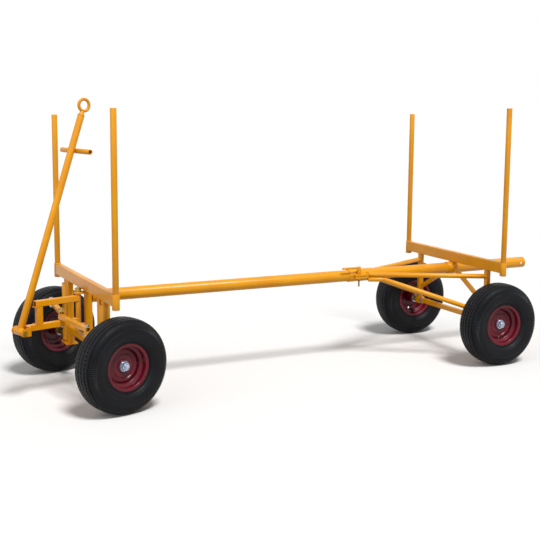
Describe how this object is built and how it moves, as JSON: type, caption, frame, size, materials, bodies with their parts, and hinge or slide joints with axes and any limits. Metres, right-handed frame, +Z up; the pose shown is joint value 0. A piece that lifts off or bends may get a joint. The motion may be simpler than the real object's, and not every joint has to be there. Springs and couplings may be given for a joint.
{
  "type": "long goods cart",
  "caption": "Long goods hand cart: steered front bolster and sliding rear bolster on a round pole, air-tyred wheels, tow handle and lift-out stakes.",
  "frame": {"origin": "on the floor under the middle of the whole cart's box at rest", "axes": "+X to the rear along the pole, +Y to the far side, +Z up; the drawbar is at -X"},
  "size_m": [3.1454, 1.1592, 1.4695],
  "materials": {
    "frame_paint": "golden yellow gloss powder coat",
    "rim_paint": "crimson gloss paint",
    "tyre_rubber": "moulded black rubber",
    "bright_zinc": "bright zinc plate",
    "yellow_zinc": "yellow passivated zinc plate",
    "bearing_steel": "ground bearing steel",
    "bush_bronze": "plain bronze"
  },
  "bodies": {
    "front_frame": {"front_bolster": "frame_paint", "front_sockets": "frame_paint", "inner_posts": "frame_paint", "centre_post": "frame_paint", "lower_crossbeam": "frame_paint", "kingpins": "frame_paint", "kingpin_plates": "frame_paint", "drawbar_lugs": "frame_paint", "front_fasteners": "yellow_zinc", "main_pole": "frame_paint"},
    "yoke": {"yoke_pivot_tube": "frame_paint", "yoke_top_rail": "frame_paint", "yoke_bottom_rail": "frame_paint", "yoke_upright": "frame_paint", "yoke_clevis": "frame_paint", "steering_pin": "bright_zinc", "hinge_bolt": "yellow_zinc"},
    "handle": {"handle_barrel": "frame_paint", "handle_tube": "frame_paint", "cross_handle": "frame_paint", "tow_eye": "frame_paint"},
    "front_knuckle_near": {"knuckle_near": "frame_paint", "front_axle_near": "yellow_zinc", "kingpin_bushes_near": "bush_bronze", "knuckle_fasteners_near": "bright_zinc"},
    "front_knuckle_far": {"knuckle_far": "frame_paint", "front_axle_far": "yellow_zinc", "kingpin_bushes_far": "bush_bronze", "knuckle_fasteners_far": "bright_zinc"},
    "near_tie_rod": {"tie_rod_near": "frame_paint"},
    "far_tie_rod": {"tie_rod_far": "frame_paint"},
    "rear_bogie": {"rear_bolster": "frame_paint", "rear_sockets": "frame_paint", "rear_posts": "frame_paint", "axle_beam": "frame_paint", "rear_axles": "yellow_zinc", "rear_diagonals": "frame_paint", "hub_sleeve": "frame_paint", "clamp_sleeve": "frame_paint", "upper_struts": "frame_paint", "lower_struts": "frame_paint", "rear_fasteners": "bright_zinc"},
    "lever": {"clamp_lever": "frame_paint"},
    "wheel_front_near": {"tyre_front_near": "tyre_rubber", "rim_front_near": "rim_paint", "bearings_front_near": "bearing_steel"},
    "front_near_stake": {"stake_front_near": "frame_paint"},
    "wheel_front_far": {"tyre_front_far": "tyre_rubber", "rim_front_far": "rim_paint", "bearings_front_far": "bearing_steel"},
    "front_far_stake": {"stake_front_far": "frame_paint"},
    "wheel_rear_near": {"tyre_rear_near": "tyre_rubber", "rim_rear_near": "rim_paint", "bearings_rear_near": "bearing_steel"},
    "rear_near_stake": {"stake_rear_near": "frame_paint"},
    "wheel_rear_far": {"tyre_rear_far": "tyre_rubber", "rim_rear_far": "rim_paint", "bearings_rear_far": "bearing_steel"},
    "rear_far_stake": {"stake_rear_far": "frame_paint"}
  },
  "joints": [
    {"name": "yoke_steer", "type": "hinge", "parent": "front_frame", "child": "yoke", "pos_m": [-1.22634, 0, 0.42], "axis": [0, 0, 1], "range_deg": [-50.5, 19.5]},
    {"name": "knuckle_near_turn", "type": "hinge", "parent": "front_frame", "child": "front_knuckle_near", "pos_m": [-1.19234, -0.32, 0.35], "axis": [0, 0, 1], "range_deg": [-51, 20]},
    {"name": "knuckle_far_turn", "type": "hinge", "parent": "front_frame", "child": "front_knuckle_far", "pos_m": [-1.19234, 0.32, 0.35], "axis": [0, 0, 1], "range_deg": [-51, 20]},
    {"name": "tie_rod_near_turn", "type": "hinge", "parent": "yoke", "child": "near_tie_rod", "pos_m": [-1.31981, -0.02592, 0.4], "axis": [0, 0, 1], "range_deg": [-20, 51]},
    {"name": "tie_rod_far_turn", "type": "hinge", "parent": "yoke", "child": "far_tie_rod", "pos_m": [-1.31981, -0.02592, 0.4], "axis": [0, 0, 1], "range_deg": [-20, 51]},
    {"name": "handle_pitch", "type": "hinge", "parent": "yoke", "child": "handle", "pos_m": [-1.54048, -0.08712, 0.353], "axis": [0.2672, -0.9636, 0], "range_deg": [0, 122]},
    {"name": "bogie_slide", "type": "slide", "parent": "front_frame", "child": "rear_bogie", "axis": [1, 0, 0], "range_m": [-1.3, 0.4]},
    {"name": "lever_turn", "type": "hinge", "parent": "rear_bogie", "child": "lever", "pos_m": [0.37766, -0.0468, 0.5], "axis": [0, 0, 1], "range_deg": [0, 150]},
    {"name": "wheel_front_near_spin", "type": "hinge", "parent": "front_knuckle_near", "child": "wheel_front_near", "pos_m": [-1.15492, -0.45491, 0.23], "axis": [0.2672, -0.9636, 0], "continuous": true},
    {"name": "wheel_front_far_spin", "type": "hinge", "parent": "front_knuckle_far", "child": "wheel_front_far", "pos_m": [-1.22975, 0.45491, 0.23], "axis": [0.2672, -0.9636, 0], "continuous": true},
    {"name": "wheel_rear_near_spin", "type": "hinge", "parent": "rear_bogie", "child": "wheel_rear_near", "pos_m": [1.05266, -0.445, 0.23], "axis": [0, -1, 0], "continuous": true},
    {"name": "wheel_rear_far_spin", "type": "hinge", "parent": "rear_bogie", "child": "wheel_rear_far", "pos_m": [1.05266, 0.445, 0.23], "axis": [0, -1, 0], "continuous": true},
    {"name": "stake_front_near_lift", "type": "slide", "parent": "front_frame", "child": "front_near_stake", "axis": [0, 0, 1], "range_m": [0, 0.15]},
    {"name": "stake_front_far_lift", "type": "slide", "parent": "front_frame", "child": "front_far_stake", "axis": [0, 0, 1], "range_m": [0, 0.15]},
    {"name": "stake_rear_near_lift", "type": "slide", "parent": "rear_bogie", "child": "rear_near_stake", "axis": [0, 0, 1], "range_m": [0, 0.15]},
    {"name": "stake_rear_far_lift", "type": "slide", "parent": "rear_bogie", "child": "rear_far_stake", "axis": [0, 0, 1], "range_m": [0, 0.15]}
  ],
  "couplings": [
    {"joint": "knuckle_near_turn", "follows": "yoke_steer", "ratio": 1},
    {"joint": "knuckle_far_turn", "follows": "yoke_steer", "ratio": 1},
    {"joint": "tie_rod_near_turn", "follows": "yoke_steer", "ratio": -1},
    {"joint": "tie_rod_far_turn", "follows": "yoke_steer", "ratio": -1}
  ]
}
